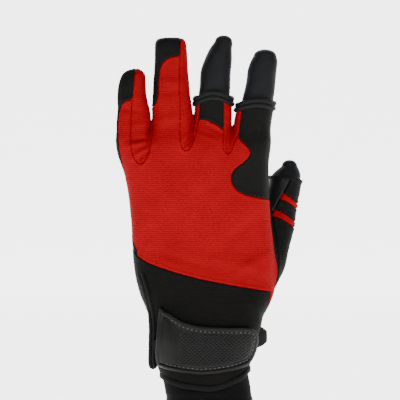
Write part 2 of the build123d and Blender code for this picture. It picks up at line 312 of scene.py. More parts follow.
def solid(name, sheet, material, thick=1.2, lift=0.0, groove=0.55, reach=0.9, puff=0.34, plain=None,
          wrinkle=1.0):
    """A closed piece of cloth on a sheet of the glove's surface, sunk along its seams."""
    v, t = sheet
    n = normals(glove_field, v)
    edge = border(t)
    seeds = np.unique(edge)
    if plain is not None:
        seeds = seeds[~plain(v[seeds])]
    rise = wrinkle * relief(v) + lift
    if len(seeds) and groove:
        tree = kdtree.KDTree(len(seeds))
        for i, p in enumerate(v[seeds]):
            tree.insert(p, i)
        tree.balance()
        d = np.array([tree.find(p)[2] for p in v])
        u = np.clip(d / reach, 0, 1)
        rise = rise - groove * (1 - u) ** 2 + puff * np.exp(-((d - 1.25) / 0.6) ** 2)
    outer = v + n * rise[:, None]
    inner = v + n * (lift - thick)
    k = len(v)
    faces = [*t, *(t[:, ::-1] + k)]
    for a, b in edge:
        faces.append((b, a, a + k, b + k))
    return finish_mesh(name, np.concatenate([outer, inner]), faces, material)


def ring(sections, z, count=96, grow=0.0):
    """Points round a section at height z, with the outward directions."""
    cx, cy, hw, hd, r = (float(column(sections, j, np.array([z]))[0]) for j in range(1, 6))
    hw, hd = hw + grow, hd + grow
    r = min(max(r + grow, 0.5), 0.98 * min(hw, hd))
    a = np.arange(count) * 2 * math.pi / count
    d = np.stack([np.cos(a) * hw, np.sin(a) * hd], 1)
    low, high = np.zeros(count), np.full(count, 1.5)
    for _ in range(26):
        mid = (low + high) / 2
        p = d * mid[:, None]
        q = np.abs(p) - np.array([hw - r, hd - r])
        dist = np.linalg.norm(np.maximum(q, 0), axis=1) + np.minimum(q.max(1), 0) - r
        low, high = np.where(dist < 0, mid, low), np.where(dist < 0, high, mid)
    p = d * low[:, None]
    q = np.maximum(np.abs(p) - np.array([hw - r, hd - r]), 1e-6) * np.sign(p)
    n = q / np.linalg.norm(q, axis=1, keepdims=True)
    return p + np.array([cx, cy]), n


def between_rows(chosen, rows):
    """Faces from each chosen row of ring points to the next row."""
    count, faces = len(rows[0]), []
    for i in chosen:
        a, b = i * count, ((i + 1) % len(rows)) * count
        for j in range(count):
            k = (j + 1) % count
            faces.append((a + j, a + k, b + k, b + j))
    return faces


def rings_solid(name, rows, material):
    """A closed mesh from rows of ring points, with the last row joined to the first."""
    return finish_mesh(name, np.concatenate(rows), between_rows(range(len(rows)), rows), material)


def stall(name, sections, material, thick=0.9, count=72, dome=4.4):
    """A liner stall: an outer skin up to its round tip and an inner skin back down, as one closed solid."""
    low, top = sections[0][0], sections[-1][0]
    angle = np.arange(count) * 2 * math.pi / count
    rows = []
    for inset, outside in ((0.0, True), (thick, False)):
        skin_rows = []
        for z in np.linspace(low, top - inset - dome, 60):
            p, n = ring(sections, min(z + inset, top), count, -inset)
            bump = outside * (0.12 * np.sin(z / 5.3 + angle * 2) + 0.10 * np.sin(z / 2.9 - angle * 3))
            skin_rows.append(np.column_stack([p + n * bump[:, None], np.full(count, z)]))
        last = skin_rows[-1]
        centre = last.mean(0)
        for f in np.linspace(0.1, 0.995, 12):
            row = centre + (last - centre) * max(math.cos(f * math.pi / 2), 0.004)
            row[:, 2] = last[:, 2] + dome * math.sin(f * math.pi / 2)
            skin_rows.append(row)
        rows += skin_rows if outside else skin_rows[::-1]
    half = len(rows) // 2
    faces = between_rows([i for i in range(len(rows)) if i != half - 1], rows)
    faces.append(tuple((half - 1) * count + q for q in range(count)))
    faces.append(tuple(half * count + q for q in reversed(range(count))))
    return finish_mesh(name, np.concatenate(rows), faces, material)


def band(name, sections, height, profile, material, count=120, axis=(0, 0, 1), base_z=None):
    """A closed hem: a profile of (out, up) points swept round a section stack at a height that may vary."""
    prof = rounded(profile)
    base, _ = ring(sections, sections[-1][0] - 8.0 if base_z is None else base_z, count)
    z = np.array([float(height(x, y)) for x, y in base])
    axis = np.array(axis, float) / np.linalg.norm(axis)
    rows = []
    for i in range(count):
        p, m = ring(sections, z[i], count)
        at = np.array([*p[i], z[i]])
        out = np.array([*m[i], 0.0])
        out = out - axis * (out @ axis)
        out /= np.linalg.norm(out)
        rows.append(at + prof[:, :1] * out + prof[:, 1:] * axis)
    return rings_solid(name, rows, material)


def on_cuff(s, z, height=0.0):
    """A point on the back of the hand: s runs round the section from its middle, height stands off it."""
    s, z = np.broadcast_arrays(np.asarray(s, float), np.asarray(z, float))
    cx, cy, hw, hd, r = (column(HAND, j, z) for j in range(1, 6))
    flat = hw - r
    a = np.clip((np.abs(s) - flat) / r, 0, math.pi)
    side = np.sign(s)
    x = cx + side * (np.minimum(np.abs(s), flat) + r * np.sin(a))
    y = cy - (hd - r) - r * np.cos(a)
    n = np.stack([side * np.sin(a), -np.cos(a), 0 * x], -1)
    return np.stack([x, y, z], -1) + n * np.asarray(height)[..., None]


def arc(x, z):
    """The s of on_cuff for a point seen at x on the back."""
    cx, _, hw, _, r = (float(column(HAND, j, np.array([float(z)]))[0]) for j in range(1, 6))
    flat, d = hw - r, x - cx
    if abs(d) <= flat:
        return d
    return math.copysign(flat + r * math.asin(min((abs(d) - flat) / r, 1)), d)


# ---- Materials
def fill(node, values):
    """Set a shader node's inputs by name."""
    for key, value in values.items():
        node.inputs[key].default_value = value


def material(name, dark, light, roughness, slot, patch=35.0, bumps=(), sheen=0.0, level=0.5):
    """A cloth, leather or rubber from noise patches and a list of bump layers."""
    m = bpy.data.materials.new(name)
    m.use_nodes = True
    tree = m.node_tree
    node, link = tree.nodes.new, tree.links.new
    shader = tree.nodes["Principled BSDF"]
    where = node("ShaderNodeTexCoord").outputs["Object"]
    fill(shader, {"Sheen Weight": sheen, "Sheen Roughness": 0.45, "Specular IOR Level": level})

    def texture(kind, scale, detail=None):
        tex = node("ShaderNodeTex" + kind)
        fill(tex, {"Scale": scale} if detail is None else {"Scale": scale, "Detail": detail})
        link(where, tex.inputs["Vector"])
        return tex

    noise = texture("Noise", patch, 6)
    fine = texture("Noise", 1700, 3)
    both = node("ShaderNodeMix")
    fill(both, {"Factor": 0.4})
    link(noise.outputs["Fac"], both.inputs[2])
    link(fine.outputs["Fac"], both.inputs[3])
    ramp = node("ShaderNodeValToRGB")
    for stop, position, colour in zip(ramp.color_ramp.elements, (0.33, 0.67), (dark, light)):
        stop.position = position
        stop.color = (*colour, 1)
    link(both.outputs[0], ramp.inputs["Fac"])
    link(ramp.outputs["Color"], shader.inputs["Base Color"])
    rough = node("ShaderNodeMapRange")
    fill(rough, {"To Min": roughness - 0.07, "To Max": roughness + 0.07})
    link(noise.outputs["Fac"], rough.inputs["Value"])
    link(rough.outputs["Result"], shader.inputs["Roughness"])
    last = None
    for kind, scale, depth, extra in bumps:
        if kind == "noise":
            out = texture("Noise", scale, extra).outputs["Fac"]
        elif kind == "cells":
            out = texture("Voronoi", scale).outputs["Distance"]
        else:
            tex = texture("Wave", scale, 2)
            tex.bands_direction = kind
            fill(tex, {"Distortion": extra, "Detail Scale": 0.6})
            out = tex.outputs["Fac"]
        bump = node("ShaderNodeBump")
        fill(bump, {"Distance": depth * 0.001, "Strength": 1.0})
        link(out, bump.inputs["Height"])
        if last:
            link(last, bump.inputs["Normal"])
        last = bump.outputs["Normal"]
    if last:
        link(last, shader.inputs["Normal"])
    MATERIALS[name] = m
    SLOTS[name] = slot


RIB = 2 * math.pi / 20 * 1000  # wave texture scale for a period of one millimetre
material("red", (0.165, 0.0004, 0.0022), (0.225, 0.0008, 0.0034), 0.85, "red_fabric", 45,
         (("Z", RIB / 1.4, 0.12, 1.0), ("X", RIB / 0.9, 0.04, 1.0), ("noise", 1500, 0.07, 3)), level=0.06)
material("leather", (0.0010, 0.0009, 0.0008), (0.0027, 0.0025, 0.0021), 0.72, "black_leather", 60,
         (("cells", 1100, 0.09, 0), ("noise", 420, 0.12, 4)), level=0.10)
material("pad", (0.0022, 0.0022, 0.0021), (0.0048, 0.0048, 0.0046), 0.45, "black_leather", 60,
         (("cells", 900, 0.07, 0), ("noise", 300, 0.08, 3)), level=0.16)
material("cuff", (0.0012, 0.0011, 0.0009), (0.0028, 0.0026, 0.0022), 0.75, "cuff_fabric", 50,
         (("Z", RIB / 1.2, 0.10, 1.0), ("noise", 1300, 0.08, 3)), level=0.08)
material("binding", (0.0014, 0.0014, 0.0013), (0.0034, 0.0033, 0.0031), 0.7, "hem_binding", 70,
         (("Z", RIB / 0.8, 0.10, 0.5), ("noise", 1600, 0.08, 3)), level=0.16)
material("liner", (0.0028, 0.0030, 0.0038), (0.0046, 0.0050, 0.0062), 0.6, "liner_fabric", 55,
         (("X", RIB / 0.8, 0.06, 0.6), ("noise", 1900, 0.05, 2)), level=0.12)
material("sleeve", (0.0014, 0.0014, 0.0015), (0.0030, 0.0030, 0.0032), 0.8, "liner_fabric", 55,
         (("X", RIB / 0.9, 0.10, 0.6), ("noise", 1900, 0.05, 2)), level=0.06)
material("strap", (0.0016, 0.0017, 0.0014), (0.0030, 0.0031, 0.0027), 0.42, "rubber_strap", 70,
         (("noise", 900, 0.05, 3),), level=0.14)
material("thread", (0.03, 0.03, 0.029), (0.055, 0.055, 0.052), 0.6, "hem_binding", 90,
         (("noise", 2500, 0.05, 2),), sheen=0.1)
material("tape", (0.004, 0.004, 0.004), (0.009, 0.009, 0.009), 0.9, "hook_and_loop", 90,
         (("cells", 1500, 0.4, 0),))


def place(obj, bodies, *nodes, bend=None):
    """Put a piece on its body in place of its CAD nodes. A piece given a bend is left where it stands, on
    no body, and is not blended across its joint.
    """
    if bend:
        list(bodies)
        tuple(c * 0.001 for c in bend[0])
        tuple(c * 0.001 for c in bend[1])
        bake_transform(obj)
    else:
        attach(obj, bodies)
    if nodes:
        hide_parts(*nodes)
    return obj


# ---- Cloth folds seen on the worn glove
FOLDS = (  # centre x, y, z, direction in degrees, half length, half width, height
    (-48, -11, 177, 33, 8, 1.5, 1.3), (-47.5, -11, 173.5, 38, 7, 1.3, -1.0),
    (-44.5, -11, 171.5, 62, 7, 1.3, 1.1), (-51, -11, 182.5, 14, 7, 1.6, 1.0),
    (-50, -11, 186, 4, 8, 1.5, -0.9), (-43, -11, 186, 80, 8, 1.4, -0.9), (-14, -11, 189, 35, 6, 1.5, 0.9),
    (-16, -11, 184.5, 50, 6, 1.3, -0.9), (12.8, -12, 182, 84, 7, 1.6, -2.6),
    (-13.6, -12, 187, 62, 5, 1.5, -2.4), (-30, -16, 150, 80, 22, 8, 0.9), (-8, -16, 128, 66, 30, 8, -0.9),
    (18, -16, 118, 70, 26, 9, 0.8), (-40, -16, 122, 84, 26, 7, 0.8), (24, -16, 100, -20, 16, 5, 0.5),
    (3, -12, 193, -28, 9, 2.0, -0.6), (-4, -12, 188, -20, 9, 2.2, 0.6), (-50, -12, 196, 12, 9, 2.6, 0.55),
    (-54, -10, 206, -8, 9, 2.0, -0.5), (-54, -9, 214, 6, 9, 2.2, 0.5), (-27, -11, 219, 4, 12, 2.4, -0.5),
    (-27, -10, 226, -5, 12, 2.6, 0.45), (-28, -12, 200, 10, 12, 3.2, 0.5),
    (-5, -13, 170, 70, 16, 3.0, 0.5), (-20, -14, 160, 80, 22, 3.4, -0.4), (2, -15, 140, 60, 26, 4.5, 0.5),
    (-30, -15, 130, 75, 30, 5.0, 0.5), (20, -16, 120, 40, 20, 4.0, -0.5),
    (30, -15, 100, 30, 16, 3.2, 0.6), (-44, -10, 110, 60, 10, 2.4, 0.6),
    (10, -16, 100, -12, 26, 3.6, 0.5), (-25, -16, 104, -15, 20, 3.0, -0.5),
    (-38, -15, 82, 66, 12, 2.6, 0.6), (30, -15, 70, -60, 14, 3.0, 0.8), (36, -8, 64, -68, 12, 2.4, -0.6),
    (0, 16, 176, 0, 34, 2.4, -0.9), (-10, 16, 150, 8, 34, 3.0, -0.7), (20, 17, 120, 66, 30, 3.4, -0.9),
    (-20, 17, 118, -40, 26, 3.6, -0.6), (-26, 17, 96, 30, 20, 3.4, 0.6), (54, 30, 150, -10, 10, 2.2, 0.5),
    (50, 26, 134, 10, 10, 2.0, -0.6), (46, 22, 122, 6, 12, 2.4, 0.6), (40, 16, 106, 24, 14, 2.8, -0.7),
)

# ---- The glove's skin, cut into panels along its seams
skin = extract(glove_field, (-70, -27, 6), (72, 44, 262), 0.9)


def hem_height(x, y):
    """Height of the cuff's wavy lower edge."""
    d = np.abs(np.asarray(x) + 4.5)
    wave = 0.35 * np.sin(np.asarray(x) / 4.1 + 1) * np.cos(np.asarray(y) / 9)
    return 11.4 + 0.0105 * d * d + 1.5 * step(26, 33, d) + wave


def wrist_end(p):
    """Positive below the cuff's lower edge."""
    return hem_height(p[..., 0], p[..., 1]) + 0.2 - p[..., 2]


def keep(sheet, field):
    """The part of a sheet where the field is negative."""
    return split(sheet, field)[0]


def corner_of(x, z):
    """A field that is negative left of x and above z."""
    return lambda p: np.maximum(p[..., 0] - x, z - p[..., 2])


def middle_cut(x, y):
    """Height of the middle finger's cut end: it arches on the back."""
    return 212.6 + (3.0 - 0.031 * (x - 2.4) ** 2) * step(9, -9, y)


def index_cut(x, y):
    """Height of the index finger's cut end."""
    return 208.2 + 0.05 * (x - 32) + (2.2 - 0.018 * (x - 32) ** 2) * step(9, -9, y)


def hem_field(p):
    """Positive past the cut ends of the middle and index fingers and the thumb."""
    x, y, z = np.moveaxis(p, -1, 0)
    middle = np.where((x > -12) & (x < 18.2), z - middle_cut(x, y) - 1, -50.0)
    index = np.where((x >= 18.2) & (y < 14), z - index_cut(x, y) - 1, -50.0)
    fingers = np.where(z < 190, -20.0, np.maximum(middle, index))
    thumb = z - 160.5 + 0.012 * (x - 50) ** 2 * (x > 50)
    return np.maximum(fingers, np.where((z <= 185) & (x > 37) & (y > 15.2), thumb, -50.0))


skin = keep(keep(skin, wrist_end), hem_field)


def thumb_side(p):
    """Negative on the thumb: beyond the hand's side on the back, and where it stands out of the palm."""
    y, z = p[..., 1], p[..., 2]
    on_thumb = tube(p, THUMB, 1) - tube(p, HAND, 8) + 2.4
    return np.maximum(on_thumb, 80 - z + 0.25 * (y - 6))


thumb, body = split(skin, thumb_side)
CUFF_LINE = np.array([(-60, 110), (-52.5, 107.5), (-50.5, 104.5), (-44, 100), (-35, 96.5), (-22.5, 92.5),
    (-5.5, 88), (15.5, 84), (36.5, 80.5), (50, 79)], float)


def cuff_seam(p):
    """Negative on the cuff."""
    x, y, z = np.moveaxis(p, -1, 0)
    w = step(-5, 7, y)
    return z - (np.interp(x, CUFF_LINE[:, 0], CUFF_LINE[:, 1]) * (1 - w) + 66 * w)


cuff, hand = split(body, cuff_seam)
gusset_area = outline([(-10, 84), (-9.6, 77), (-7, 70), (-1, 64), (5, 66), (8, 72), (9, 84)])
cuff_gusset, cuff = split(cuff, lambda p: np.maximum(24 - p[..., 0], gusset_area(p[..., [1, 0, 2]])))
cuff_back, cuff_palm = split(cuff, lambda p: p[..., 1] - 1.5)


def palm_side(p):
    """Negative on the back of the hand and fingers."""
    x, y, z = np.moveaxis(p, -1, 0)
    lip = 1.5 - 5.5 * step(158, 168, z) * (x < -30) - 12 * step(121, 107, z) * (x < -30)
    return y - np.where((x > 10) & (z < 146), -2.0, lip)


FINGERS = {
    "pinky_ring": two_sided(
        outline([(-52, 242), (-52.4, 234), (-54.2, 216), (-55, 206), (-55.5, 192), (-55.3, 182.2),
            (-54.4, 176.4), (-52.3, 171.4), (-49, 168.4), (-46.3, 169.6), (-44.1, 173.6), (-42.3, 178.6),
            (-41, 184.8), (-40.1, 195.5), (-39.2, 212), (-38, 262), (-46, 262)]),
        outline([(-49, 240), (-49.5, 196), (-47.5, 182), (-43, 177), (-38, 182), (-35.5, 196),
            (-35.5, 262), (-46, 262)]), 4),
    "ring_middle": two_sided(
        outline([(-20.4, 264), (-20.9, 243), (-21.2, 225), (-21, 205), (-20.9, 191),
            (-20.6, 183.9), (-19.4, 179.6), (-16.9, 177.8), (-14.2, 179.4), (-12.1, 183.9), (-10.2, 191),
            (-8.4, 198.2), (-7.5, 207), (-7.6, 222), (-14, 264)]),
        outline([(-20, 264), (-20, 198), (-18, 184), (-12.5, 178), (-8, 184), (-6.5, 198),
            (-6.5, 222), (-14, 264)]), 4.5),
    "middle_index": two_sided(
        outline([(9.6, 222), (9.7, 208.9), (9.7, 192.9), (9.1, 183.9), (9.7, 178.4), (12, 175.6),
            (14.5, 177.4), (16, 182.1), (17.2, 185.4), (19.7, 189.4), (20.6, 196), (22, 209),
            (22.4, 222)]),
        outline([(9.5, 222), (9.5, 198), (11, 184), (15, 179), (20, 184), (22.5, 198),
            (24, 222)]), 4),
}
webs = {}
for key, area in FINGERS.items():
    webs[key], hand = split(hand, area)
back, palm = split(hand, palm_side)
index_black = outline([(22.2, 224), (21.7, 210), (19.3, 196), (19.3, 187), (25.5, 181.5),
    (29, 176.5), (25, 170.5), (17, 165.5), (14, 159), (17, 151.5), (24, 147.2), (33, 145.4), (42, 143.8),
    (66, 143.8), (66, 224)], 2)
index_back, back = split(back, index_black)
middle_black = outline([(-12, 224), (-12, 201), (-8, 199.6), (-1.5, 199), (5, 196), (10.5, 191.5),
    (16, 191.5), (16, 224)])
middle_back, back = split(back, middle_black)
pinky_black = outline([(-75, 246), (-51.4, 246), (-52, 233), (-53.4, 222), (-54.3, 213.6),
    (-58.5, 213), (-61.6, 211), (-63.6, 206), (-64.4, 197), (-64, 182), (-62.2, 172), (-60, 163),
    (-58.8, 157), (-75, 157)])
pinky_cap, back = split(back, pinky_black)
ring_black = outline([(-48, 268), (-14, 268), (-14, 244.5), (-22, 244.5), (-29.5, 243.2),
    (-35, 237.5), (-36.3, 227), (-36.4, 215), (-38.4, 210), (-41, 208), (-48, 208)])
ring_cap, back = split(back, ring_black)
ring_edge, webs["pinky_ring"] = split(
    webs["pinky_ring"], lambda p: np.maximum(ring_black(p), -41.0 - p[..., 0]))
pinky_back, back = split(back, corner_of(-41, 199))
ring_back, back = split(back, lambda p: np.maximum(corner_of(-14, 208)(p), -46 - p[..., 0]))
pinky_web, webs["pinky_ring"] = split(webs["pinky_ring"], corner_of(-42.6, 198))
ring_web_outer, webs["pinky_ring"] = split(webs["pinky_ring"], lambda p: 198 - p[..., 2])
ring_web_inner, webs["ring_middle"] = split(webs["ring_middle"], corner_of(-12.9, 199))

# Palm side: four finger strips, then the palm itself
pinky_palm, palm = split(palm, corner_of(-42.4, 188))
ring_palm, palm = split(palm, corner_of(-13.6, 189))
finger_palms, palm = split(palm, lambda p: 187 - p[..., 2] + 1.5 * np.cos(p[..., 0] / 4.6))


def soft_z(*values):
    """True on a cut at one of these heights, which is inside a panel and gets no seam."""
    return lambda p: np.abs(p[:, 2][:, None] - np.array(values, float)).min(1) < 0.5


def wrist_cut(p):
    """True on the cuff's lower edge, which the hem covers."""
    return p[:, 2] < 24


PINKY_LINE = ((-54.8, 0.8, 202.5), (-54.8, 0.8, 219.5))
RING_LINE = ((-27.2, 1.4, 214.5), (-27.2, 1.4, 231.5))
THUMB_AXIS = np.array((0.2013, 0.1187, 0.9723))
THUMB_LINE = tuple(tuple(np.array((48.4, 22.2, 132)) + THUMB_AXIS * t) for t in (-8, 8))

# How a piece is placed: on the hand alone, or, across a joint, with two bodies and a joint line that are
# given but not used to blend it
MOTION = {"hand": ("hand", None), "pinky": (("hand", "pinky_tip"), PINKY_LINE),
          "ring": (("hand", "ring_tip"), RING_LINE),
          "thumb": (("hand", "thumb_tip"), THUMB_LINE)}
for name, part, kind, joint, nodes, plain in (
        ("back_panel", back, "red", "hand", ("back_panel", "ring_base_back"), soft_z(199, 208)),
        ("index_knuckle_panel", index_back, "leather", "hand",
         ("index_knuckle_panel", "index_base_back"), None),
        ("middle_back_patch", middle_back, "leather", "hand", ("middle_back_patch",), None),
        ("fourchette_middle_index", webs["middle_index"], "red", "hand",
         ("fourchette_middle_index",), None),
        ("fourchette_ring_middle", webs["ring_middle"], "red", "hand",
         ("fourchette_ring_middle",), soft_z(199)),
        ("fourchette_pinky_ring", webs["pinky_ring"], "red", "hand",
         ("fourchette_pinky_ring",), soft_z(198)),
        ("ring_inner_side", ring_web_inner, "red", "ring", ("ring_tip_inner_side",), soft_z(199)),
        ("ring_outer_side", ring_web_outer, "red", "ring", (), soft_z(198)),
        ("ring_outer_edge", ring_edge, "leather", "ring", ("ring_tip_outer_side",), None),
        ("pinky_inner_side", pinky_web, "red", "pinky", ("pinky_tip_inner_side",), soft_z(198)),
        ("pinky_back", pinky_back, "red", "pinky", ("pinky_base_back",), soft_z(199)),
        ("ring_back", ring_back, "red", "ring", ("ring_back", "ring_bend"), soft_z(208)),
        ("ring_tip_cap", ring_cap, "leather", "ring", ("ring_tip_cap",), None),
        ("pinky_cap", pinky_cap, "leather", "pinky",
         ("pinky_tip_cap", "pinky_outer_wall", "pinky_bend"), None),
        ("pinky_palm_strip", pinky_palm, "leather", "pinky", ("pinky_tip_palm",), None),
        ("ring_palm_strip", ring_palm, "leather", "ring", ("ring_tip_palm",), None),
        ("finger_base_palms", finger_palms, "leather", "hand", ("finger_base_palms",), None),
        ("palm_panel", palm, "leather", "hand", ("palm_panel",), None),
        ("cuff_back", cuff_back, "cuff", "hand", ("cuff_back",), wrist_cut),
        ("cuff_palm", cuff_palm, "cuff", "hand", ("cuff_palm",), wrist_cut),
        ("cuff_side_gusset", cuff_gusset, "red", "hand", ("cuff_side_gusset",), None)):
    bodies, bend = MOTION[joint]
    place(solid(name, part, kind, plain=plain), bodies, *nodes, bend=bend)

# Grip patches sewn on the palm
PATCHES = {
    "upper": [(-50, 143), (-12, 144.5), (27, 147), (28, 161), (27, 175), (-12, 176), (-52, 175),
        (-53, 159)],
    "heel": [(-43, 85), (-26, 82), (-10, 80), (-9, 104), (-9, 128), (-27, 133), (-45, 136), (-46, 110)]}
for name, shape in PATCHES.items():
    patch = keep(palm, outline(shape, 3))
    nodes = ("palm_grip_patches",) if name == "upper" else ()
    piece = solid("palm_grip_patch_" + name, patch, "pad", thick=0.9, lift=0.85, groove=0.7, reach=1.2,
                  puff=0.1)
    place(piece, "hand", *nodes)


# Thumb: base, back, stripes and pad side
def stripe_field(x0, z0, slope, arch, half, taper):
    """Negative on a stripe that slants and arches across the back of the thumb."""
    def field(p):
        x, y, z = np.moveaxis(p, -1, 0)
        middle = z0 + slope * (x - x0) + arch * np.clip((x - x0) * (x0 + 14 - x) / 49, -1, 1)
        return np.maximum(np.abs(z - middle) - half + taper * np.clip(x - x0, 0, 12),
                          y - column(THUMB, 2, z) - 6)
    return field


def pad_field(p):
    """Negative on the smooth pad side of the thumb."""
    x, y, z = np.moveaxis(p, -1, 0)
    cx, cy = column(THUMB, 1, z), column(THUMB, 2, z)
    front = x - np.interp(z, (122, 132, 137, 143.5, 152, 160.5), (42, 43.6, 45, 48.5, 53.5, 58))
    w = step(-4, 5, y - cy)
    return np.maximum(front * (1 - w) + (x - cx - 9) * w, 124 + 0.5 * (x - 44) - z)


pad_panel, thumb_rest = split(thumb, pad_field)
stripe_one, thumb_rest = split(thumb_rest, stripe_field(51, 146.4, -0.75, 1.0, 2.6, 0.06))
stripe_two, thumb_rest = split(thumb_rest, stripe_field(45, 134.6, -0.56, 1.2, 2.6, 0.02))
for part, name, kind, nodes in (
        (pad_panel, "thumb_pad_panel", "pad", ("thumb_pad_panel",)),
        (stripe_one, "thumb_stripe_upper", "red", ("thumb_stripes",)),
        (stripe_two, "thumb_stripe_lower", "red", ()),
        (thumb_rest, "thumb_back", "leather", ("thumb_back", "thumb_base", "thumb_bend"))):
    bodies, bend = MOTION["thumb"]
    place(solid(name, part, kind, groove=0.6), bodies, *nodes, bend=bend)

# ---- Hems
ROLL = ((-0.9, -2.2), (0.7, -2.5), (1.6, -2.1), (2.0, -1.0), (1.75, 0.2), (1.1, 0.8), (0.95, 1.0),
    (1.3, 1.3), (1.75, 2.3), (1.6, 3.5), (0.9, 4.3), (-0.2, 4.5), (-1.0, 3.8), (-1.2, 2.0), (-1.1, 0.0))
place(band("middle_hem", MIDDLE, middle_cut, ROLL, "binding", axis=(0.03, 0.03, 1)), "hand", "middle_hem")
place(band("index_hem", INDEX, index_cut, ROLL, "binding", axis=(0.2, 0.06, 1)), "hand", "index_hem")
LIP = ((-0.9, -2.2), (0.2, -2.3), (0.55, -1.6), (0.6, -0.4), (0.3, 0.4), (-0.3, 0.55), (-0.9, 0.0))
CUFF_LIP = ((-0.6, -0.6), (0.4, -1.0), (1.0, -0.6), (1.15, 0.6), (1.1, 2.4), (0.7, 3.2), (-0.4, 3.4),
    (-0.8, 1.4))


def thumb_cut(x, y):
    """Height of the thumb's cut end."""
    return 160.4 - 0.014 * (x - 50) ** 2 * (x > 50)


place(band("thumb_hem", THUMB, thumb_cut, LIP, "leather", axis=THUMB_AXIS), "thumb_tip", "thumb_hem")
place(band("cuff_hem", HAND, hem_height, CUFF_LIP, "leather", count=200, base_z=15.0), "hand", "cuff_hem")

# ---- The liner glove
for finger, sections, bend in (
        ("middle", MIDDLE_LINER, ((2.5, 1.6, 219.5), (4.1, 1.8, 234.4))),
        ("index", INDEX_LINER, ((33.4, 1.4, 214.5), (36.0, 1.8, 229.5)))):
    nodes = ["liner_" + finger + part for part in ("_tip", "_bend", "_base")]
    place(stall("liner_" + finger, sections, "liner"), ("hand", finger + "_tip"), *nodes, bend=bend)
place(stall("liner_thumb", THUMB_LINER, "liner"), "thumb_tip", "liner_thumb_tip")
inner = extract(lambda p: glove_field(p) + 2.1, (-70, -27, 20), (72, 44, 262), 2.4)
inner = keep(keep(inner, lambda p: 24 - p[..., 2]), lambda p: hem_field(p) + 4)
inner_thumb, inner = split(inner, lambda p: np.maximum(thumb_side(p), 104 - p[..., 2]))
inner_pinky, inner = split(inner, corner_of(-41.6, 198))
inner_ring, inner = split(inner, lambda p: np.maximum(corner_of(-13, 208)(p), -44 - p[..., 0]))
for name, part, joint, nodes in (
        ("liner_palm", inner, "hand", ("liner_palm",)),
        ("liner_pinky", inner_pinky, "pinky", ("liner_pinky_tip", "liner_pinky_base")),
        ("liner_ring", inner_ring, "ring", ("liner_ring_tip", "liner_ring_base")),
        ("liner_thumb_base", inner_thumb, "thumb", ("liner_thumb_base",))):
    bodies, bend = MOTION[joint]
    place(solid(name, part, "liner", thick=0.7, lift=0.0, groove=0, wrinkle=0.3), bodies, *nodes, bend=bend)


def sleeve():
    """The liner's sleeve below the cuff: an outer and an inner skin, with a turned hem."""
    rows, count = [], 160
    a = np.arange(count) * 2 * math.pi / count
    zs = np.linspace(0.0, 26.0, 40)
    for inset, heights in ((0.0, zs), (0.9, zs[::-1])):
        for z in heights:
            p, n = ring(SLEEVE, z, count, -inset)
            wave = 0.35 * np.sin(3 * a + z / 6) + 0.25 * np.sin(5 * a - z / 4)
            wave += 0.5 * math.exp(-((z - 9) / 2.2) ** 2) * np.cos(a + 2)
            hem = 0.25 * math.exp(-((z - 1.2) / 1.1) ** 2) - 0.2 * math.exp(-((z - 3.2) / 0.5) ** 2)
            rows.append(np.column_stack([p + n * (wave + hem - 0.3)[:, None], np.full(count, z)]))
    return rings_solid("liner_sleeve", rows, "sleeve")


place(sleeve(), "hand", "liner_sleeve")

# ---- The wrist strap: outline in s (round the wrist) and z
LEFT_S, RIGHT_S = arc(-35.3, 48), 38.0
TOP = np.array([(LEFT_S, 70.0), (LEFT_S + 4, 66.8), (-17, 59.6), (-9, 57.2), (0, 55.8), (12, 55.4),
    (30, 55.3), (46, 55.0)])
LOW = np.array([(LEFT_S, 28.0), (-24, 25.4), (-14, 23.2), (-3, 22.0), (8, 22.6), (18, 24.4), (28, 27.4),
    (46, 31.0)])
CORNER = 11.0  # the strap's free corners


def round_off(near, corner):
    """How far an edge draws in at a round corner that starts this near to the end."""
    return corner - np.sqrt(np.maximum(corner**2 - np.clip(near, 0, corner) ** 2, 0))


def strap_edges(s):
    """Heights of the strap's lower and upper edge."""
    top, low = np.interp(s, TOP[:, 0], TOP[:, 1]), np.interp(s, LOW[:, 0], LOW[:, 1])
    cut = round_off(s - (RIGHT_S - CORNER), CORNER)
    return low + cut, top - cut


def strap_wave(s, z):
    """The strap's slight waviness."""
    return 0.35 * np.sin(s / 11.0 + 1) * np.sin(z / 16.0)


def strap_stations(run, extra):
    """Places along the strap, with more of them round its free corners."""
    return np.unique(np.concatenate([run, RIGHT_S - CORNER * (1 - np.linspace(0, 1, extra) ** 0.5)]))


def grid_solid(name, upper, lower, kind):
    """A closed piece between two grids of points, joined round their rims."""
    n, m = upper.shape[:2]
    k, faces = n * m, []
    for i in range(n - 1):
        for j in range(m - 1):
            q = (i * m + j, (i + 1) * m + j, (i + 1) * m + j + 1, i * m + j + 1)
            faces += [q, tuple(x + k for x in reversed(q))]
    rim = [i * m for i in range(n)] + [(n - 1) * m + j for j in range(1, m)]
    rim += [i * m + m - 1 for i in range(n - 2, -1, -1)] + list(range(m - 2, 0, -1))
    for a, b in zip(rim, rim[1:] + rim[:1]):
        faces.append((b, a, a + k, b + k))
    return finish_mesh(name, np.concatenate([upper.reshape(-1, 3), lower.reshape(-1, 3)]), faces, kind, 40)


def strap_shape(s, z):
    """Distance inside the strap's outline."""
    grid = strap_stations(np.linspace(LEFT_S, RIGHT_S, 260), 60)
    low, top = strap_edges(grid)
    ends = [np.stack([np.full(n, at), np.linspace(low[i], top[i], n)], 1)
            for n, at, i in ((40, RIGHT_S, -1), (60, LEFT_S, 0))]
    line = np.concatenate([np.stack([grid, low], 1), np.stack([grid, top], 1), *ends])
    out = np.empty(s.shape)
    for i in range(s.shape[0]):
        out[i] = np.hypot(s[i][:, None] - line[:, 0], z[i][:, None] - line[:, 1]).min(1)
    return out


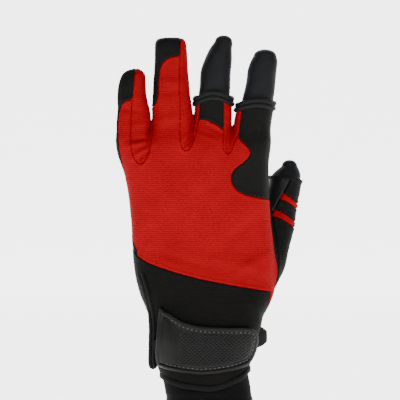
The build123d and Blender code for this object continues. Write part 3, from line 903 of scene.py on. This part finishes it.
def strap():
    """The moulded strap: a raised rim, a stitched channel and a lattice of low ribs."""
    u = np.linspace(0, 1, 340)
    s = strap_stations(LEFT_S + (RIGHT_S - LEFT_S) * (1 - (1 - u) ** 1.12), 40)
    low, top = strap_edges(s)
    v = np.linspace(0, 1, 150)
    S = np.repeat(s[:, None], len(v), 1)
    Z = low[:, None] + (top - low)[:, None] * v
    d = strap_shape(S, Z)
    h = 3.55 - 1.3 * (1 - np.clip(d / 0.9, 0, 1)) ** 2 + 0.55 * step(0, 1.0, d) * step(3.0, 2.2, d)
    h -= 0.28 * np.exp(-((d - 3.5) / 0.45) ** 2)
    inside = step(5.4, 6.4, d) * step(LEFT_S + 14, LEFT_S + 17, S)
    pitch = 2.9
    ribs = [np.abs(np.mod((S + tilt * Z) / pitch, 1) - 0.5) for tilt in (1.2, -1.2)]
    cell = np.minimum(*ribs) * pitch
    h += inside * (0.36 * step(0.7, 0.15, cell) - 0.16)
    h -= 0.22 * np.exp(-((d - 5.1) / 0.4) ** 2) * step(LEFT_S + 11, LEFT_S + 13, S)
    h += strap_wave(S, Z) * step(0, 8, d)
    return grid_solid("wrist_strap", on_cuff(S, Z, h), on_cuff(S, Z, 1.85), "strap")


place(strap(), "strap", "strap_band", "strap_rim", "strap_patch")


def stitching(name, points, outward, kind="thread", pitch=3.1, length=1.3, radius=0.3):
    """Stitches along a line of surface points, each a small closed thread loop."""
    seg = np.linalg.norm(np.diff(points, axis=0), axis=1)
    run = np.concatenate([[0], np.cumsum(seg)])
    v, faces = [], []
    for m in np.arange(pitch / 2, run[-1], pitch):
        at = [np.array([np.interp(m + o, run, points[:, i]) for i in range(3)])
              for o in (-length / 2, length / 2)]
        n = np.array([np.interp(m, run, outward[:, i]) for i in range(3)])
        along = at[1] - at[0]
        size = np.linalg.norm(along)
        if size < 0.2:
            continue
        along /= size
        side = np.cross(along, n)
        side /= np.linalg.norm(side)
        n = np.cross(side, along)
        base = len(v)
        for f in np.linspace(-1, 1, 7):
            centre = (at[0] + at[1]) / 2 + along * size / 2 * f + n * (radius * 0.9 - 0.5 * f * f * radius)
            r = radius * max(math.sqrt(1 - min(abs(f), 0.97) ** 4), 0.12)
            for k in range(8):
                b = k * math.pi / 4
                v.append(centre + (side * math.cos(b) + n * math.sin(b)) * r)
        for i in range(6):
            for k in range(8):
                a0, a1 = base + i * 8 + k, base + i * 8 + (k + 1) % 8
                faces.append((a0, a0 + 8, a1 + 8, a1))
        faces += [tuple(base + k for k in range(8)), tuple(base + 48 + k for k in reversed(range(8)))]
    return finish_mesh(name, v, faces, kind, 70)


grid = np.linspace(LEFT_S + 7, RIGHT_S - 4.2, 200)
edge_low, edge_top = strap_edges(grid)
edge_low, edge_top = edge_low + 4, edge_top - 4
line_s = np.concatenate([grid, np.full(30, grid[-1]), grid[::-1]])
line_z = np.concatenate([edge_low, np.linspace(edge_low[-1], edge_top[-1], 30), edge_top[::-1]])
line_s, line_z = relax(line_s, 6), relax(line_z, 6)
on_strap = on_cuff(line_s, line_z, 3.3 + strap_wave(line_s, line_z))
outward = on_cuff(line_s, line_z, 1.0) - on_cuff(line_s, line_z, 0.0)
place(stitching("strap_stitching", on_strap, outward), "strap")


def on_back(points, front=True, step_size=0.6):
    """Points and outward directions on the glove's back, or its palm, under a line of (x, z) points."""
    p = np.array(points, float)
    run = np.concatenate([[0], np.cumsum(np.linalg.norm(np.diff(p, axis=0), axis=1))])
    m = np.arange(0, run[-1], step_size)
    x, z = (relax(np.interp(m, run, p[:, i]), 5) for i in (0, 1))
    at = np.stack([x, np.full(len(x), -30.0 if front else 30.0), z], 1)
    for _ in range(60):
        at[:, 1] += glove_field(at) * (0.8 if front else -0.8)
    n = normals(glove_field, at)
    return at + n * (relief(at) + 0.02)[:, None], n


CUFF_STITCHES = [(-47, 98.6), (-35, 94.2), (-22.5, 90.2), (-5.5, 85.8), (15.5, 81.8), (36, 78.4)]
for name, line, front in (
        ("stitching_cuff_seam", CUFF_STITCHES, True),
        ("stitching_palm_upper", PATCHES["upper"], False),
        ("stitching_palm_heel", PATCHES["heel"], False)):
    if not front:
        line = rounded(line, 3)
        centre = np.mean(line, axis=0)
        reach = np.linalg.norm(line - centre, axis=1, keepdims=True)
        line = centre + (line - centre) * (1 - 2.2 / reach)
        line = np.concatenate([line, line[:1]])
    points, outward = on_back(line, front=front)
    if not front:
        points = points + outward * 0.9
    place(stitching(name, points, outward, "leather" if front else "thread", pitch=3.0, length=1.9,
                    radius=0.2), "hand")


def flat_patch(name, s0, s1, z0, z1, low, high, kind, corner=6.0, rough=0.0):
    """A flat patch lying round the wrist, between two heights off the cuff."""
    s = np.linspace(s0, s1, 90)
    cut = round_off(np.maximum(s - (s1 - corner), s0 + corner - s), corner)
    v = np.linspace(0, 1, 40)
    S = np.repeat(s[:, None], 40, 1)
    Z = (z0 + cut)[:, None] + ((z1 - cut) - (z0 + cut))[:, None] * v
    nap = rough * np.sin(S * 2.7) * np.sin(Z * 2.9)
    return grid_solid(name, on_cuff(S, Z, high + nap), on_cuff(S, Z, low), kind)


place(flat_patch("loop_patch", -28, 35, 28.5, 52, 0.1, 0.75, "tape", rough=0.08), "hand", "loop_patch")
place(flat_patch("hook_pad", -26, 34, 29.5, 51, 1.05, 1.85, "tape", rough=0.05), "strap", "hook_pad")
place(flat_patch("strap_root", LEFT_S - 4.0, LEFT_S + 3.0, 32, 46, 0.5, 1.9, "leather", corner=1.0),
      ("hand", "strap"), "strap_bend", bend=((-40.5, -14, 39), (-35.5, -20, 39)))


# ---- Binding of the cuff's slit, and the pull loop
def ribbon(name, path, frames, profile, closed=False):
    """A closed ribbon: a profile of (across, up) points carried along a path with those directions."""
    prof = rounded(profile)
    rows = [p + prof[:, :1] * across + prof[:, 1:] * up for p, across, up in zip(path, *frames)]
    v = np.concatenate(rows)
    count = len(prof)
    chosen = range(len(rows) if closed else len(rows) - 1)
    faces = [(a, d, c, b) for a, b, c, d in between_rows(chosen, rows)]
    if not closed:
        faces += [tuple(range(count)), tuple(reversed(range(len(v) - count, len(v))))]
    return finish_mesh(name, v, faces, "binding", 50)


def unit(rows):
    """Directions scaled to length one."""
    return rows / np.linalg.norm(rows, axis=1, keepdims=True)


def slit_binding():
    """Two rolls of folded tape along the slit: off the cuff beside the strap, on its surface above."""
    knots = np.array([(-39.4, 25.6), (-40.5, 31), (-40.2, 42), (-39.9, 54), (-40.7, 66), (-44.2, 79),
                      (-48, 92)], float)
    t, at = np.linspace(0, 1, 80), np.linspace(0, 1, len(knots))
    x, z = (relax(np.interp(t, at, knots[:, i]), 8) for i in (0, 1))
    s = np.array([arc(*point) for point in zip(x, z)])
    depth = np.interp(z, (24, 45, 62, 78, 92), (-14.3, -14.3, -13.4, -12.5, -11.5))
    on_skin = on_cuff(s, z, 0.5)
    free = step(74, 56, z)[:, None]
    path = np.stack([x, depth, z], 1) * free + on_skin * (1 - free)
    up = unit(np.array([-0.42, -0.9, 0]) * free + (on_cuff(s, z, 1.3) - on_skin) * (1 - free))
    across = unit(np.cross(unit(np.gradient(path, axis=0)), up))
    round_end = np.sqrt(np.clip(1 - np.clip((28.4 - z) / 2.8, 0, 1) ** 2, 0.04, 1))[:, None]
    rolls = ((-2.2, -8), (-3.0, -0.6), (-2.9, 0.6), (-1.7, 1.6), (-0.6, 0.8), (-0.2, -0.3), (0.2, 0.8),
             (1.2, 1.5), (2.2, 0.6), (2.2, -0.6), (1.6, -5))
    return ribbon("slit_binding", path, (across * round_end, up * round_end), rolls)


def pull_loop():
    """A flat loop of tape standing out of the cuff on the thumb side, narrower at its outer end."""
    a = np.linspace(0, 2 * math.pi, 72, endpoint=False)
    path = np.array([32.0, 1.0, 48.0]) + np.stack([7.2 * np.cos(a), 4.6 * np.sin(a), 0 * a], 1)
    up = unit(np.stack([np.cos(a) * 0.7, np.sin(a), 0 * a], 1))
    half_width = 7.6 - 3.6 * np.clip(np.cos(a), 0, 1) ** 2
    tape = ((-1.0, -0.8), (-1.03, 0), (-1.0, 0.8), (0, 0.95), (1.0, 0.8), (1.03, 0), (1.0, -0.8), (0, -0.7))
    return ribbon("pull_loop", path, (np.outer(-half_width, (0, 0, 1.0)), up), tape, closed=True)


place(slit_binding(), "hand", "slit_binding")
place(pull_loop(), "hand", "pull_loop")


# ---- Floor, light and camera, in metres
def stage():
    """A pale floor that curves up into a backdrop."""
    start, radius = 4.5, 2
    curve = [(start + radius * math.sin(b), radius - radius * math.cos(b))
             for b in np.linspace(0.1, math.pi / 2, 14)]
    profile = [(-9, 0), (start, 0), *curve, (start + radius, 8)]
    v = [(x, y, z - 0.0006) for y, z in profile for x in (-10, 10)]
    mesh = bpy.data.meshes.new("floor")
    mesh.from_pydata(v, [], [(2 * i, 2 * i + 1, 2 * i + 3, 2 * i + 2) for i in range(len(profile) - 1)])
    mesh.shade_smooth()
    m = bpy.data.materials.new("floor")
    m.use_nodes = True
    fill(m.node_tree.nodes["Principled BSDF"], {
        "Base Color": (0.86, 0.86, 0.86, 1), "Roughness": 1.0, "Specular IOR Level": 0.0,
        "Emission Color": (1, 1, 1, 1), "Emission Strength": 3.4})
    mesh.materials.append(m)
    obj = bpy.data.objects.new("floor", mesh)
    bpy.context.scene.collection.objects.link(obj)


def area(name, where, size, power):
    """A round lamp that points at the glove."""
    data = bpy.data.lights.new(name, "AREA")
    data.shape, data.size, data.energy = "DISK", size, power
    obj = bpy.data.objects.new(name, data)
    obj.location = where
    obj.rotation_euler = (Vector((0, 0, 0.13)) - Vector(where)).to_track_quat("-Z", "Y").to_euler()
    bpy.context.scene.collection.objects.link(obj)


stage()
area("key", (0.6, -2.0, 1.5), 0.6, 33)
area("fill", (-1.8, -2.1, 0.4), 1.0, 8)
area("top", (0.1, 0.5, 2.0), 1.0, 8)
world = bpy.data.worlds.new("studio")
world.use_nodes = True
fill(world.node_tree.nodes["Background"], {"Color": (1, 1, 1, 1), "Strength": 0.15})
bpy.context.scene.world = world
camera = bpy.data.objects.new("camera", bpy.data.cameras.new("camera"))
bpy.context.scene.collection.objects.link(camera)
camera.location = (-0.007, -3.0, 0.1435)
camera.rotation_euler = (math.pi / 2, 0, 0)
camera.data.sensor_width = 36
camera.data.lens = 36 * 3.0 / 0.28
camera.data.clip_end = 60
bpy.context.scene.camera = camera
